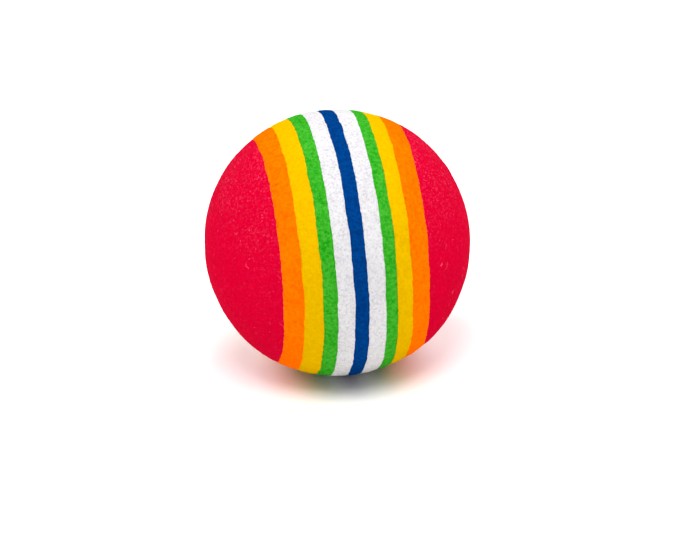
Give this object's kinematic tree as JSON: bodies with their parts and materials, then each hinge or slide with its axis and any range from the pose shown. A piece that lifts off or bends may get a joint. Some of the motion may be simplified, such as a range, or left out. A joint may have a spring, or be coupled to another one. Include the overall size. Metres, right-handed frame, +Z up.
{
  "type": "juggling ball",
  "caption": "Light solid foam ball for juggling and soft throwing play, made of flat coloured foam sheets bonded in a stack and ground round, so that stripes run right round it.",
  "frame": {"origin": "middle of the ball", "axes": "+X along the stack of sheets, from the left cap to the right cap; +Z up with the stack level; +Y completes the right-handed frame"},
  "size_m": [0.042, 0.042, 0.042],
  "materials": {
    "foam_red": "matte",
    "foam_orange": "matte",
    "foam_yellow": "matte",
    "foam_green": "matte",
    "foam_white": "matte",
    "foam_blue": "matte",
    "glue": "satin"
  },
  "bodies": {
    "root": {"red_cap_left": "foam_red", "orange_disc_left": "foam_orange", "yellow_disc_left": "foam_yellow", "green_disc_left": "foam_green", "white_disc_left": "foam_white", "blue_disc_middle": "foam_blue", "white_disc_right": "foam_white", "green_disc_right": "foam_green", "yellow_disc_right": "foam_yellow", "orange_disc_right": "foam_orange", "red_cap_right": "foam_red", "glue_film_red_orange_left": "glue", "glue_film_orange_yellow_left": "glue", "glue_film_yellow_green_left": "glue", "glue_film_green_white_left": "glue", "glue_film_white_blue_left": "glue", "glue_film_blue_white_right": "glue", "glue_film_white_green_right": "glue", "glue_film_green_yellow_right": "glue", "glue_film_yellow_orange_right": "glue", "glue_film_orange_red_right": "glue"}
  },
  "joints": []
}
